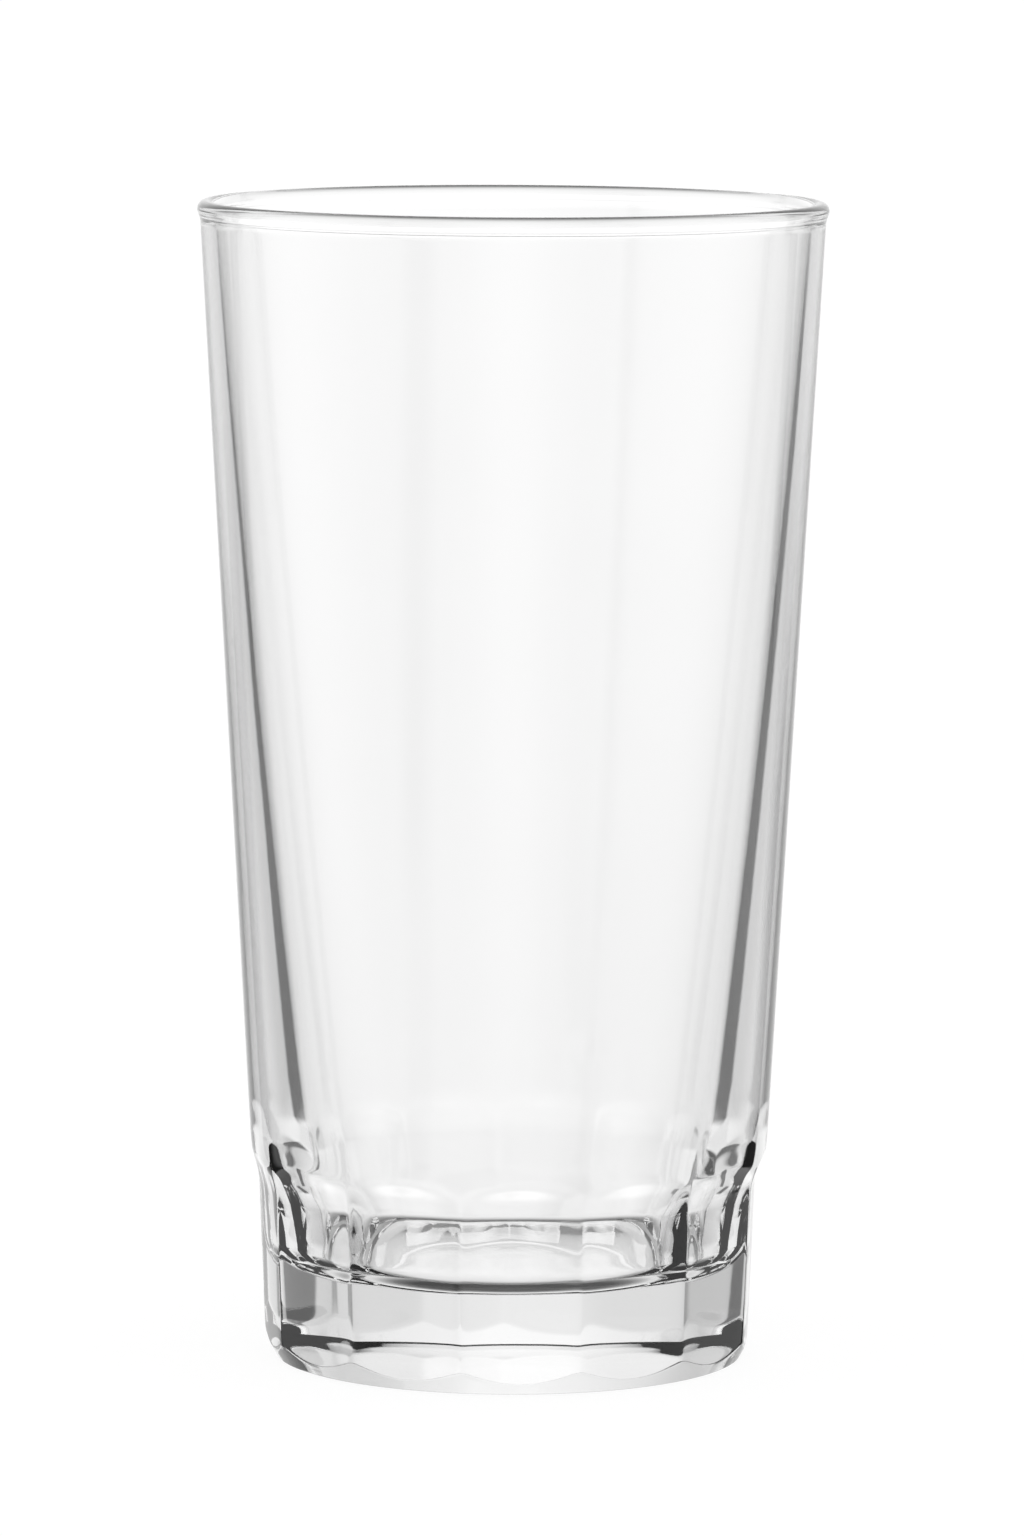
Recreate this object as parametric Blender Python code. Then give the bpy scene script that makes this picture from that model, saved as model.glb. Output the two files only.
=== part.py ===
"""Pint tumbler: one body of clear pressed glass with a thirteen-panelled foot.

Metres, +Z up. The origin is the middle of the surface that the glass stands on, and one
panel of the foot faces -Y. The body is made as its mould makes it: a turned blank, trimmed
by the thirteen flat panels of the mould, and hollowed by a turned plunger.
"""

import math

import bmesh
import bpy
from mathutils import Matrix, Vector

MM = 0.001

# ---- Driving dimensions ------------------------------------------------------------------
HEIGHT = 152.4 * MM            # 6 in, table to top of lip
RIM_RADIUS = 41.275 * MM       # 3 1/4 in across the lip
LIP_THICKNESS = 2.3 * MM
LIP_RING_DROP = 1.7 * MM       # the plunger's ring line, below the top of the lip
LIP_RING_STEP = 0.3 * MM       # the height over which the wall steps in at that line

PANELS = 13
PANEL_APOTHEM = 31.55 * MM     # middle of a panel to the axis, at the table
PANEL_SLOPE = 0.035            # how much a panel leans out, per unit of height
PANEL_TOP = 22.3 * MM          # where a panel starts to run out to the cone
PANEL_RUNOUT_RADIUS = 8.5 * MM
CONE_RADIUS = 32.52 * MM       # outer cone, carried down to the table
CONE_SLOPE = 0.0556

HEEL_RADIUS = 30.75 * MM       # the heel's chamfer, carried down to the table
HEEL_SLOPE = 0.55              # how much the chamfer leans out, per unit of height
HEEL_ROUND = 0.3 * MM          # between the chamfer and the flat ring that the glass stands on
STANDING_RADIUS = 30.57 * MM   # outer edge of that ring
PUSH_UP_RADIUS = 25.0 * MM     # the shallow hollow under the base
PUSH_UP_DEPTH = 0.6 * MM

FLOOR_HEIGHT = 12.0 * MM       # thickness of the solid glass base
FLOOR_CORNER_RADIUS = 4.0 * MM
CAVITY_FLOOR_RADIUS = 25.0 * MM
CAVITY_MIDDLE_RADIUS = 32.85 * MM
CAVITY_RING_RADIUS = 38.92 * MM
BOWL_TOP = 34.0 * MM           # the cavity draws in further below this height
BOWL_INSET = 1.6 * MM

TURNED_STEPS = 104             # facets round every turned surface, eight to each panel
ARC_STEPS = 5
CLEAR = 10 * MM                # how far a cutter runs past the glass


# ---- Turned outlines ---------------------------------------------------------------------
def arc(centre_r, centre_z, radius, start_deg, end_deg, steps=ARC_STEPS):
    """Points (radius, height) along an arc, its ends included."""
    points = []
    for step in range(steps + 1):
        angle = math.radians(start_deg + (end_deg - start_deg) * step / steps)
        points.append((centre_r + radius * math.cos(angle), centre_z + radius * math.sin(angle)))
    return points


def turned(name, outline, steps, start_deg=0.0):
    """A closed solid: an outline that starts and ends on the axis, spun once round it."""
    mesh = bmesh.new()
    turn = Matrix.Rotation(math.radians(start_deg), 4, "Z")
    verts = [mesh.verts.new(turn @ Vector((radius, 0, height))) for radius, height in outline]
    edges = [mesh.edges.new(pair) for pair in zip(verts, verts[1:])]
    bmesh.ops.spin(mesh, geom=verts + edges, cent=(0, 0, 0), axis=(0, 0, 1),
                   angle=math.tau, steps=steps, use_merge=True)
    bmesh.ops.remove_doubles(mesh, verts=mesh.verts, dist=0.00001)
    bmesh.ops.recalc_face_normals(mesh, faces=mesh.faces)
    data = bpy.data.meshes.new(name)
    mesh.to_mesh(data)
    mesh.free()
    solid = bpy.data.objects.new(name, data)
    bpy.context.collection.objects.link(solid)
    return solid


def cone_radius(height):
    return CONE_RADIUS + CONE_SLOPE * height


# ---- The turned blank: chamfered heel, outer cone and fire-polished lip --------------------
def blank():
    heel_top = (CONE_RADIUS - HEEL_RADIUS) / (HEEL_SLOPE - CONE_SLOPE)
    outline = [(0, 0)] + arc(STANDING_RADIUS, HEEL_ROUND, HEEL_ROUND, -90, -30)
    outline += [(cone_radius(heel_top), heel_top)]
    lip_round = LIP_THICKNESS / 2
    lip_centre = (RIM_RADIUS - lip_round, HEIGHT - lip_round)
    neck = lip_centre[1] - 2 * lip_round
    outline += [(cone_radius(neck), neck)]
    outline += arc(*lip_centre, lip_round, 0, 90)
    outline += [(0, HEIGHT)]
    return turned("glass_tumbler", outline, TURNED_STEPS)


# ---- The panels of the mould, with their arched run-out at the top ------------------
def panel_mould():
    """A thirteen-sided solid, turned in thirteen steps, so that each step is one flat panel."""
    half_panel = math.pi / PANELS
    top_apothem = PANEL_APOTHEM + PANEL_SLOPE * PANEL_TOP
    runout_centre = (top_apothem + PANEL_RUNOUT_RADIUS, PANEL_TOP)
    apothems = [(0, -CLEAR), (PANEL_APOTHEM - PANEL_SLOPE * CLEAR, -CLEAR)]
    apothems += arc(*runout_centre, PANEL_RUNOUT_RADIUS, 180, 110, steps=8)
    past_rim = RIM_RADIUS + CLEAR
    apothems += [(past_rim, apothems[-1][1]), (past_rim, HEIGHT + CLEAR), (0, HEIGHT + CLEAR)]
    outline = [(apothem / math.cos(half_panel), height) for apothem, height in apothems]
    return turned("cutter_panel_mould", outline, PANELS, start_deg=-90 - 180 / PANELS)


# ---- The plunger: floor, bowed inner wall, ring line and the inside of the lip -------------
def cavity_radius(height):
    """A shallow bow from floor to ring line, drawn in further where the bowl closes."""
    t = (height - FLOOR_HEIGHT) / (HEIGHT - LIP_RING_DROP - FLOOR_HEIGHT)
    straight = CAVITY_FLOOR_RADIUS * (1 - t) + CAVITY_RING_RADIUS * t
    bow = CAVITY_MIDDLE_RADIUS - (CAVITY_FLOOR_RADIUS + CAVITY_RING_RADIUS) / 2
    bowl = max(0, (BOWL_TOP - height) / (BOWL_TOP - FLOOR_HEIGHT))
    return straight + 4 * t * (1 - t) * bow - BOWL_INSET * bowl ** 1.5


def plunger():
    ring_height = HEIGHT - LIP_RING_DROP
    corner_height = FLOOR_HEIGHT + FLOOR_CORNER_RADIUS
    corner_centre = cavity_radius(corner_height) - FLOOR_CORNER_RADIUS
    outline = [(0, FLOOR_HEIGHT)]
    outline += arc(corner_centre, corner_height, FLOOR_CORNER_RADIUS, -90, -12)
    wall_top = ring_height - LIP_RING_STEP
    bowl_rows = [corner_height + (BOWL_TOP - corner_height) * step / 6 for step in range(6)]
    wall_rows = [BOWL_TOP + (wall_top - BOWL_TOP) * step / 8 for step in range(9)]
    outline += [(cavity_radius(height), height) for height in bowl_rows + wall_rows]
    lip_inner = RIM_RADIUS - LIP_THICKNESS
    lip_round = LIP_THICKNESS / 2
    outline += [(lip_inner, ring_height)]
    outline += arc(lip_inner + lip_round, HEIGHT - lip_round, lip_round, 180, 92)
    outline += [(lip_inner + lip_round, HEIGHT + CLEAR), (0, HEIGHT + CLEAR)]
    return turned("cutter_plunger", outline, TURNED_STEPS)


# ---- The shallow hollow under the base, which leaves a flat ring to stand on ---------------
def push_up():
    ball = (PUSH_UP_RADIUS ** 2 + PUSH_UP_DEPTH ** 2) / (2 * PUSH_UP_DEPTH)
    edge_deg = math.degrees(math.asin(PUSH_UP_RADIUS / ball))
    outline = [(0, -CLEAR), (PUSH_UP_RADIUS, -CLEAR)]
    dome = arc(0, PUSH_UP_DEPTH - ball, ball, 90 - edge_deg, 90)
    outline += dome[:-1] + [(0, PUSH_UP_DEPTH)]
    return turned("cutter_push_up", outline, TURNED_STEPS)


# ---- Clear soda-lime glass -----------------------------------------------------------------
def clear_glass():
    material = bpy.data.materials.new("clear_glass")
    material.use_nodes = True
    shader = material.node_tree.nodes["Principled BSDF"]
    shader.inputs["Base Color"].default_value = (0.96, 0.98, 0.98, 1)
    shader.inputs["Roughness"].default_value = 0.02
    shader.inputs["Metallic"].default_value = 0.0
    shader.inputs["IOR"].default_value = 1.52
    shader.inputs["Transmission Weight"].default_value = 1.0
    return material


def shape_with(solid, cutter, operation):
    """Cut or trim the solid with a cutter that stays behind as a hidden wire guide."""
    cutter.hide_render = True
    cutter.display_type = "WIRE"
    boolean = solid.modifiers.new(cutter.name, "BOOLEAN")
    boolean.object = cutter
    boolean.operation = operation


for leftover in list(bpy.data.objects):
    bpy.data.objects.remove(leftover)

tumbler = blank()
shape_with(tumbler, panel_mould(), "INTERSECT")
shape_with(tumbler, plunger(), "DIFFERENCE")
shape_with(tumbler, push_up(), "DIFFERENCE")
tumbler.data.materials.append(clear_glass())
tumbler.data.shade_smooth()
tumbler.data.set_sharp_from_angle(angle=math.radians(25))
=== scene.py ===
"""Looks of a pint tumbler: clear pressed glass on a white sweep, in a white studio.

Metres, +Z up, in the frame of the CAD model. One panel of the foot faces -Y.
"""

import math

import bmesh
import bpy
from mathutils import Matrix, Vector


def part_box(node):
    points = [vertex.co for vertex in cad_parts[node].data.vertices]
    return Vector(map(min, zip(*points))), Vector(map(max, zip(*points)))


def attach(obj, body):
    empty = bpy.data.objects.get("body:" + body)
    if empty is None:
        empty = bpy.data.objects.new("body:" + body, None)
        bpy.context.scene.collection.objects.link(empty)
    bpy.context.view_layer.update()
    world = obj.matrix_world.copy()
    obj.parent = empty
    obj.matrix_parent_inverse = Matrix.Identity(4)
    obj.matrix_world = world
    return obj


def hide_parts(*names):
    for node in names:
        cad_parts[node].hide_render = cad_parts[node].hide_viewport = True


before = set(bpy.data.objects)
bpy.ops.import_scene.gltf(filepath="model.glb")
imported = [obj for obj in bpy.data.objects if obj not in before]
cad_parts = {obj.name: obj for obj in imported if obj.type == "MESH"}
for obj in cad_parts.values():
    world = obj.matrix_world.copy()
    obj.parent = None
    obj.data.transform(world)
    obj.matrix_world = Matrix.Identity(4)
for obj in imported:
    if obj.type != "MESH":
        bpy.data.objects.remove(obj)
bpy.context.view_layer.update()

# ---- Arithmetic in materials ---------------------------------------------------------------
class Value:
    """A socket of numbers that works in expressions: each operator adds its Math node."""

    def __init__(self, tree, socket):
        self.tree = tree
        self.socket = socket

    def node(self, kind, settings, *sockets):
        """Any node: its settings first, then the values or links of its first inputs."""
        made = self.tree.nodes.new(kind)
        for name, setting in settings.items():
            setattr(made, name, setting)
        for slot, value in zip(made.inputs, sockets):
            if isinstance(value, Value):
                self.tree.links.new(value.socket, slot)
            elif value is not None:
                slot.default_value = value
        return made

    def math(self, operation, *sockets):
        return Value(self.tree, self.node("ShaderNodeMath", {"operation": operation}, *sockets).outputs[0])

    def into(self, slot):
        self.tree.links.new(self.socket, slot)

    def __add__(self, other):
        return self.math("ADD", self, other)

    def __radd__(self, other):
        return self.math("ADD", other, self)

    def __sub__(self, other):
        return self.math("SUBTRACT", self, other)

    def __rsub__(self, other):
        return self.math("SUBTRACT", other, self)

    def __mul__(self, other):
        return self.math("MULTIPLY", self, other)

    def __rmul__(self, other):
        return self.math("MULTIPLY", other, self)


def place_on(material):
    """The place on the object, as a Value, for the textures of a material."""
    tree = material.node_tree
    return Value(tree, tree.nodes.new("ShaderNodeTexCoord").outputs["Object"])


def noise(place, scale, detail):
    """Soft random variation from 0 to 1, with so many lumps to a metre."""
    made = place.node("ShaderNodeTexNoise", {}, place, None, scale, detail)
    return Value(place.tree, made.outputs["Fac"])


def ramp(source, stops):
    """Grey levels along a value, as (place, level) pairs, straight from one to the next."""
    made = source.node("ShaderNodeValToRGB", {}, source)
    elements = made.color_ramp.elements
    while len(elements) < len(stops):
        elements.new(1.0)
    for element, (place, level) in zip(elements, stops):
        element.position = place
        element.color = (level, level, level, 1)
    return Value(source.tree, made.outputs["Color"])


# ---- The tumbler ---------------------------------------------------------------------------
# One gob of clear soda-lime glass, pressed between an iron mould and a plunger, then
# fire-polished. The mould gives the outer cone and the thirteen flat panels of the foot, the
# plunger the cavity, and the flame rounds the lip. Nothing is joined to it.
mm = 0.001
low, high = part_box("glass_tumbler")
table = low.z
rim = high.z
lip_outer = (high.x - low.x) / 2

cone_at_table = 32.52 * mm
cone_slope = 0.0556
lip_thickness = 2.3 * mm
ring_drop = 1.7 * mm
ring_slope = 0.3 * mm

panels = 13
panel_apothem = 31.55 * mm
panel_slope = 0.035
panel_top = 22.3 * mm
runout_radius = 8.5 * mm
arch_blend = 0.25 * mm
edge_blend = 0.10 * mm
heel_blend = 0.05 * mm
heel_slope = 0.55
heel_height = 3.2 * mm
heel_radius = 30.75 * mm

edge_round = 0.3 * mm
flat_edge = heel_radius - 0.18 * mm
push_up_radius = 25.0 * mm
push_up_depth = 0.6 * mm
floor_height = 12.0 * mm
floor_corner = 4.0 * mm
floor_radius = 25.0 * mm
middle_radius = 32.85 * mm
ring_radius = 38.92 * mm
bowl_top = 34.0 * mm
bowl_inset = 1.6 * mm

panels_start = 0.2 * mm
panels_end = 30.0 * mm
lip_round = lip_thickness / 2
lip_inner = lip_outer - lip_thickness
neck = rim - lip_thickness
ring_height = rim - ring_drop
joint = 0.3 * mm

sides_per_panel = 24
same_point = 0.001 * mm


def arc(centre_r, centre_z, radius, start_deg, end_deg, steps):
    """Points (radius, height) along an arc, its ends included."""
    turns = [math.radians(start_deg + (end_deg - start_deg) * step / steps) for step in range(steps + 1)]
    return [(centre_r + radius * math.cos(a), centre_z + radius * math.sin(a)) for a in turns]


def rows(start, end, steps):
    """Heights from one row to another, both included."""
    return [start + (end - start) * step / steps for step in range(steps + 1)]


def cone(height):
    return cone_at_table + cone_slope * height


def panel_face(height):
    """Distance from the axis to the middle of a panel, with its run-out at the top."""
    face = panel_apothem + panel_slope * height
    if height > panel_top:
        climb = min(height - panel_top, 0.97 * runout_radius)
        face += runout_radius - math.sqrt(runout_radius ** 2 - climb ** 2)
    return face


def heel(height):
    """Radius of the turned heel, a short chamfer that would reach the table at heel_radius."""
    return heel_radius + heel_slope * height


def cavity(height):
    """Radius of the plunger: a shallow bow, drawn in further over its lowest 22 mm."""
    t = (height - floor_height) / (rim - ring_drop - floor_height)
    ends = floor_radius * (1 - t) + ring_radius * t
    bowl = max(0, (bowl_top - height) / (bowl_top - floor_height))
    bow = middle_radius - (floor_radius + ring_radius) / 2
    return ends + 4 * t * (1 - t) * bow - bowl_inset * bowl ** 1.5


def soft_min(a, b, blend):
    """The smaller of two radii, with the crossing rounded over."""
    gap = math.sqrt((a - b) ** 2 + 4 * blend ** 2)
    return (a + b - gap) / 2


# Underside: push-up, flat standing ring, heel. The first and last points are on the axis.
ball = (push_up_radius ** 2 + push_up_depth ** 2) / (2 * push_up_depth)
half_cap = math.degrees(math.asin(push_up_radius / ball))
outline = [(0, push_up_depth)] + arc(0, push_up_depth - ball, ball, 90, 90 - half_cap, 10)[1:]
outline += [(r, 0) for r in rows(push_up_radius, flat_edge, 8)[1:]]
outline += arc(flat_edge, edge_round, edge_round, -90, -32, 8)[1:]

# Outside: panels, run-out, cone. These rows lie on the panels' middles and on the cone.
outline += [(panel_face(z), z) for z in rows(panels_start, heel_height, 24)]
outline += [(panel_face(z), z) for z in rows(heel_height, panel_top - 1 * mm, 8)[1:]]
outline += [(panel_face(z), z) for z in rows(panel_top - 1 * mm, panels_end, 36)[1:]]
outline += [(cone(z), z) for z in rows(panels_end, neck - 1 * mm, 24)[1:]]

# Lip: a full round, a little proud of the cone, with the plunger's ring line inside it.
outline.append((cone(neck - joint), neck - joint))
outline += arc(lip_outer - lip_round, rim - lip_round, lip_round, -30, 180, 32)
outline.append((lip_inner, ring_height + 0.05 * mm))
for z in rows(ring_height, ring_height - ring_slope, 8):
    ease = (1 - math.cos(math.pi * (ring_height - z) / ring_slope)) / 2
    outline.append((lip_inner + (cavity(z) - lip_inner) * ease, z))

# Inside: bowed wall, rounded corner, flat floor.
outline += [(cavity(z), z) for z in rows(ring_height - ring_slope - joint, bowl_top, 24)]
outline += [(cavity(z), z) for z in rows(bowl_top, floor_height + floor_corner, 16)[1:]]
corner_r = cavity(floor_height + floor_corner) - floor_corner
outline += arc(corner_r, floor_height + floor_corner, floor_corner, -11, -90, 24)
outline += [(r, floor_height) for r in rows(corner_r, 0, 8)[1:]]

shell = bmesh.new()
start = Matrix.Rotation(math.radians(-90) - math.pi / panels, 4, "Z")
line = [shell.verts.new(start @ Vector((r, 0, z))) for r, z in outline]
edges = [shell.edges.new(pair) for pair in zip(line, line[1:])]
bmesh.ops.spin(shell, geom=line + edges, cent=(0, 0, 0), axis=(0, 0, 1), angle=math.tau,
               steps=panels * sides_per_panel, use_merge=True)
bmesh.ops.remove_doubles(shell, verts=shell.verts, dist=same_point)

# The mould's flats: each vertex of the outer foot goes out to its own panel or to the cone,
# and the columns crowd towards the panels' edges, where the surface turns sharply. Across a
# panel, `across` runs from -1 on one edge to 1 on the other.
panel_angle = math.tau / panels
for vert in shell.verts:
    radius = math.hypot(vert.co.x, vert.co.y)
    if radius < same_point:
        continue
    angle = math.atan2(vert.co.y, vert.co.x) + math.pi / 2
    panel = round(angle / panel_angle)
    across = (angle - panel * panel_angle) / (panel_angle / 2)
    across = 1.5 * across - 0.5 * across ** 3
    turn = across * panel_angle / 2
    height = vert.co.z
    on_foot = panels_start - 0.01 * mm < height < panels_end + 0.1 * mm
    if on_foot and radius > cavity(max(height, floor_height)) + 1 * mm:
        face = radius / math.cos(turn)
        next_face = radius / math.cos(panel_angle - abs(turn))
        flat = soft_min(face, next_face, edge_blend)
        radius = soft_min(flat, cone(height), arch_blend)
        if height < heel_height:
            radius = soft_min(radius, heel(height), heel_blend)
    angle = panel * panel_angle + turn - math.pi / 2
    vert.co.x = radius * math.cos(angle)
    vert.co.y = radius * math.sin(angle)

bmesh.ops.recalc_face_normals(shell, faces=shell.faces)
for face in shell.faces:
    face.smooth = True
tumbler_mesh = bpy.data.meshes.new("pressed_glass_tumbler")
shell.to_mesh(tumbler_mesh)
shell.free()
tumbler = bpy.data.objects.new("pressed_glass_tumbler", tumbler_mesh)
bpy.context.collection.objects.link(tumbler)

# Clear glass that has a trace of grey in its depth, and a skin with slow waves, where the mould
# was, and finer ripples, where the flame was.
wave_height = 0.012 * mm
ripple_height = 0.0015 * mm
depth_grey = (0.6, 0.6, 0.6, 1)
depth_density = 6.0
glass = bpy.data.materials.new("clear_pressed_glass")
glass.use_nodes = True
shader = glass.node_tree.nodes["Principled BSDF"]
shader.inputs["IOR"].default_value = 1.52
shader.inputs["Transmission Weight"].default_value = 1.0
place = place_on(glass)
waves = noise(place, 55.0, 1.0)
ripples = noise(place, 380.0, 2.0)
(0.985 + 0.015 * waves).into(shader.inputs["Base Color"])
(0.01 + 0.02 * ripples).into(shader.inputs["Roughness"])
relief = waves * wave_height + ripples * ripple_height
skin = place.node("ShaderNodeBump", {}, 1.0, 1.0, None, relief)
Value(place.tree, skin.outputs[0]).into(shader.inputs["Normal"])
depth = place.node("ShaderNodeVolumeAbsorption", {}, depth_grey, depth_density)
Value(place.tree, depth.outputs[0]).into(place.tree.nodes["Material Output"].inputs["Volume"])
tumbler_mesh.materials.append(glass)
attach(tumbler, "root")
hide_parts("glass_tumbler")

# ---- The sweep -----------------------------------------------------------------------------
# A plain white floor, wide enough to run out of every view. Only the camera looks at it: the
# glass looks past it at the studio, as glass on a raised sheet does.
sweep_radius = 8.0
sweep_gap = 0.05 * mm
sweep = bmesh.new()
bmesh.ops.create_circle(sweep, cap_ends=True, radius=sweep_radius, segments=96,
                        matrix=Matrix.Translation((0, 0, table - sweep_gap)))
sweep_mesh = bpy.data.meshes.new("white_sweep")
sweep.to_mesh(sweep_mesh)
sweep.free()
floor = bpy.data.objects.new("white_sweep", sweep_mesh)
bpy.context.collection.objects.link(floor)
floor.visible_transmission = False
floor.visible_glossy = False
white = bpy.data.materials.new("white_sweep")
white.use_nodes = True
paint = white.node_tree.nodes["Principled BSDF"]
paint.inputs["Roughness"].default_value = 1.0
paint.inputs["Specular IOR Level"].default_value = 0.0
paint.inputs["Emission Strength"].default_value = 0.9
sheet = place_on(white)
(0.13 + 0.02 * noise(sheet, 9.0, 4.0)).into(paint.inputs["Base Color"])
(0.994 + 0.012 * noise(sheet, 2.0, 2.0)).into(paint.inputs["Emission Color"])
sweep_mesh.materials.append(white)

# ---- The light -----------------------------------------------------------------------------
# A white studio all round, with dark gaps between its walls and a dark well below. Bright walls
# behind a glass with dark gaps beside them draw its edges as fine dark lines. Directions are
# degrees above the level, and degrees away from north or south.
world = bpy.data.worlds.new("studio")
bpy.context.scene.world = world
world.use_nodes = True
studio = world.node_tree
background = studio.nodes["Background"]
looking = Value(studio, studio.nodes.new("ShaderNodeTexCoord").outputs["Generated"])
split = looking.node("ShaderNodeSeparateXYZ", {}, looking)
east, north, up = [Value(studio, socket) for socket in split.outputs]
elevation = up.math("ARCSINE", up) * (180 / math.pi)
turned = up.math("ARCTAN2", up.math("ABSOLUTE", east), up.math("ABSOLUTE", north))
walls_turn = 3.3
bearing = turned * (180 / math.pi) - east * walls_turn


def by_elevation(*stops):
    return ramp((elevation + 90) * (1 / 180), [((degrees + 90) / 180, grey) for degrees, grey in stops])


def by_bearing(angle, *stops):
    return ramp(angle * (1 / 90), [(degrees / 90, grey) for degrees, grey in stops])


# The walls darken gently sideways. Beside each wall a low gap leans away as it goes down, and
# above it a narrow gap stands upright. The south-east quarter has neither, so that the glass is
# as pale from the back. All of it is brightest 12 degrees above the level, and the south is dimmer.
fade = by_bearing(bearing, (5, 0), (14, 0.07), (20, 0.13), (25, 0.19), (29, 0.26), (34, 0.34), (42, 0.4),
                  (52, 0.36), (62, 0.2), (72, 0.05), (82, 0)) * (1 - 0.15 * east)
fade = fade * by_elevation((-21.5, 0), (-19, 1))
lean = elevation.math("MINIMUM", elevation + 8, 0) * 1.1
low_gap = by_bearing(bearing + lean, (30.5, 0), (32.5, 0.88), (41, 0.88), (45, 0))
low_gap = low_gap * by_elevation((-22.5, 0), (-20.5, 1), (-8.6, 1), (-7.4, 0.6), (-6, 0))
gap = by_bearing(bearing, (50.6, 0), (51, 0.88), (56.3, 0.88), (57.5, 0.2), (63, 0))
gap = gap * by_elevation((-9, 0), (-7.8, 1), (7, 1), (11, 0.3), (30, 0))
brightness = by_elevation((-60, 0.06), (-48, 0.2), (-38, 0.5), (-30, 0.8), (-20, 0.95), (-8, 0.99), (-4, 1.0),
                          (5, 1.12), (12, 1.2), (18, 1.18), (35, 1.0), (80, 0.9))
south = ramp((north + 1) * 0.5, [(0.0, 0.22), (0.3, 0.2), (0.5, 0.0)])
south = south * by_elevation((-30, 0), (-22, 1), (8, 1), (14, 0))
open_quarter = ramp((east - north) * 0.5, [(0.3, 0.0), (0.5, 1.0)])
walls = (1 - fade) * (1 - low_gap) * (1 - gap)
level = (walls + (1 - walls) * open_quarter) * brightness * (1 - south * (1 - open_quarter))
level.into(background.inputs["Strength"])
background.inputs["Color"].default_value = (1, 1, 1, 1)
bpy.context.scene.view_settings.view_transform = "Standard"

# ---- The camera ----------------------------------------------------------------------------
# A long lens a little above the rim, turned three degrees off the middle of the front panel.
distance = 1.144
camera_height = 0.2129
sideways = 0.17 * mm
pitch = math.radians(6.734)
azimuth = math.radians(-3.0)
roll = math.radians(0.27)
camera_data = bpy.data.cameras.new("camera")
camera_data.lens = 205.3
camera_data.clip_end = 20
camera = bpy.data.objects.new("camera", camera_data)
bpy.context.collection.objects.link(camera)
east_of_axis = distance * math.sin(azimuth) + sideways
camera.location = (east_of_axis, -distance * math.cos(azimuth), camera_height)
aim = Matrix.Rotation(azimuth, 3, "Z") @ Matrix.Rotation(math.pi / 2 - pitch, 3, "X")
camera.rotation_euler = (aim @ Matrix.Rotation(roll, 3, "Z")).to_euler()
bpy.context.scene.camera = camera
